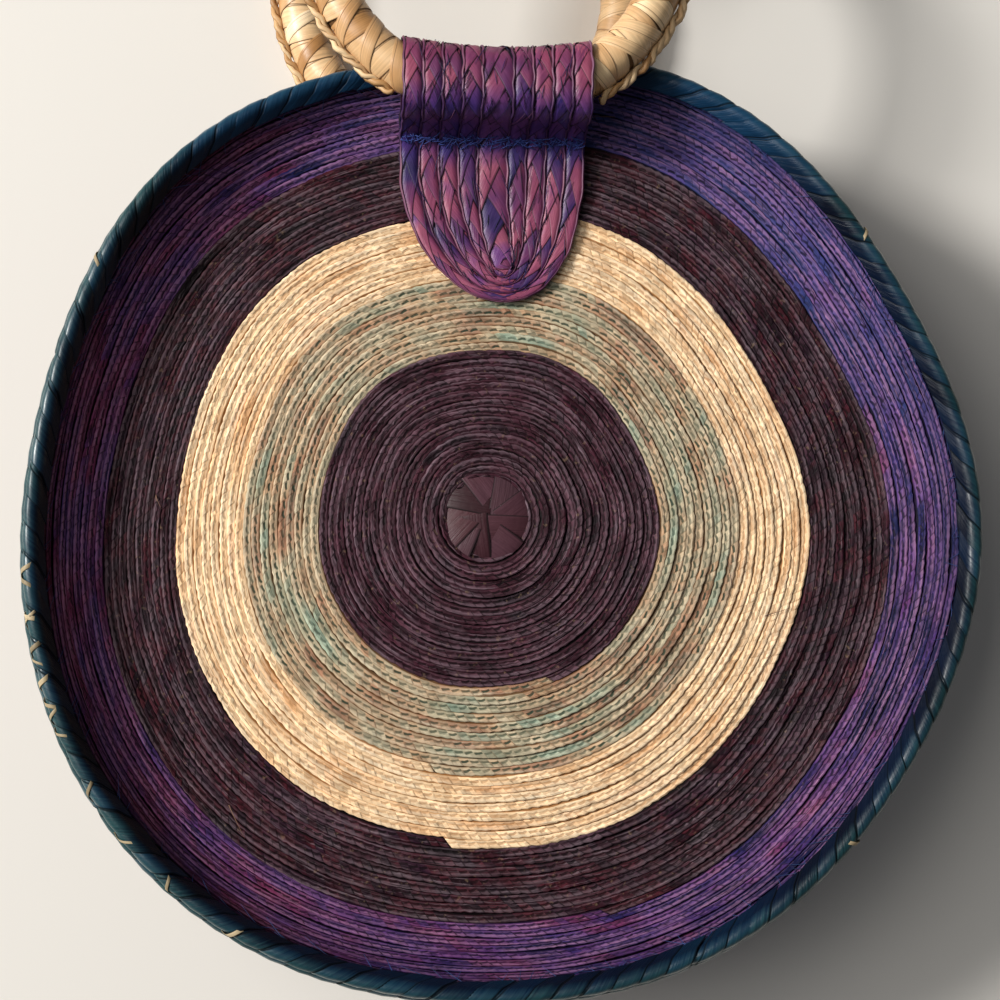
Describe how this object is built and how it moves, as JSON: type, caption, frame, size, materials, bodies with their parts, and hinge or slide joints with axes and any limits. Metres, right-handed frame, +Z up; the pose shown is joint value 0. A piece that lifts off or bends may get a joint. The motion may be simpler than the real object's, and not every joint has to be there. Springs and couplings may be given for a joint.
{
  "type": "straw beach bag",
  "caption": "Round coiled straw beach bag lying on its back: dished front panel with dyed rings, bowl-shaped back, bound rims open at the top, wrapped ring handles in plaited tabs",
  "frame": {"origin": "middle of the flat patch on the back panel that lies on the floor", "axes": "+Z up, out of the front face; +Y toward the handles; +X to the right as seen from the front"},
  "size_m": [0.398, 0.5352, 0.1046],
  "materials": {
    "front_straw": "coiled straw plait in dyed rings",
    "back_straw": "coiled straw plait in dyed rings",
    "binding": "satin dyed palm leaf",
    "tab": "satin dyed palm leaf",
    "handle": "satin natural palm leaf",
    "handle_braid": "satin natural palm leaf"
  },
  "bodies": {
    "root": {"front_panel": "front_straw", "back_panel": "back_straw", "front_binding": "binding", "back_binding": "binding", "front_tab": "tab", "back_tab": "tab", "front_handle": "handle", "back_handle": "handle", "front_handle_braid": "handle_braid", "back_handle_braid": "handle_braid"}
  },
  "joints": []
}
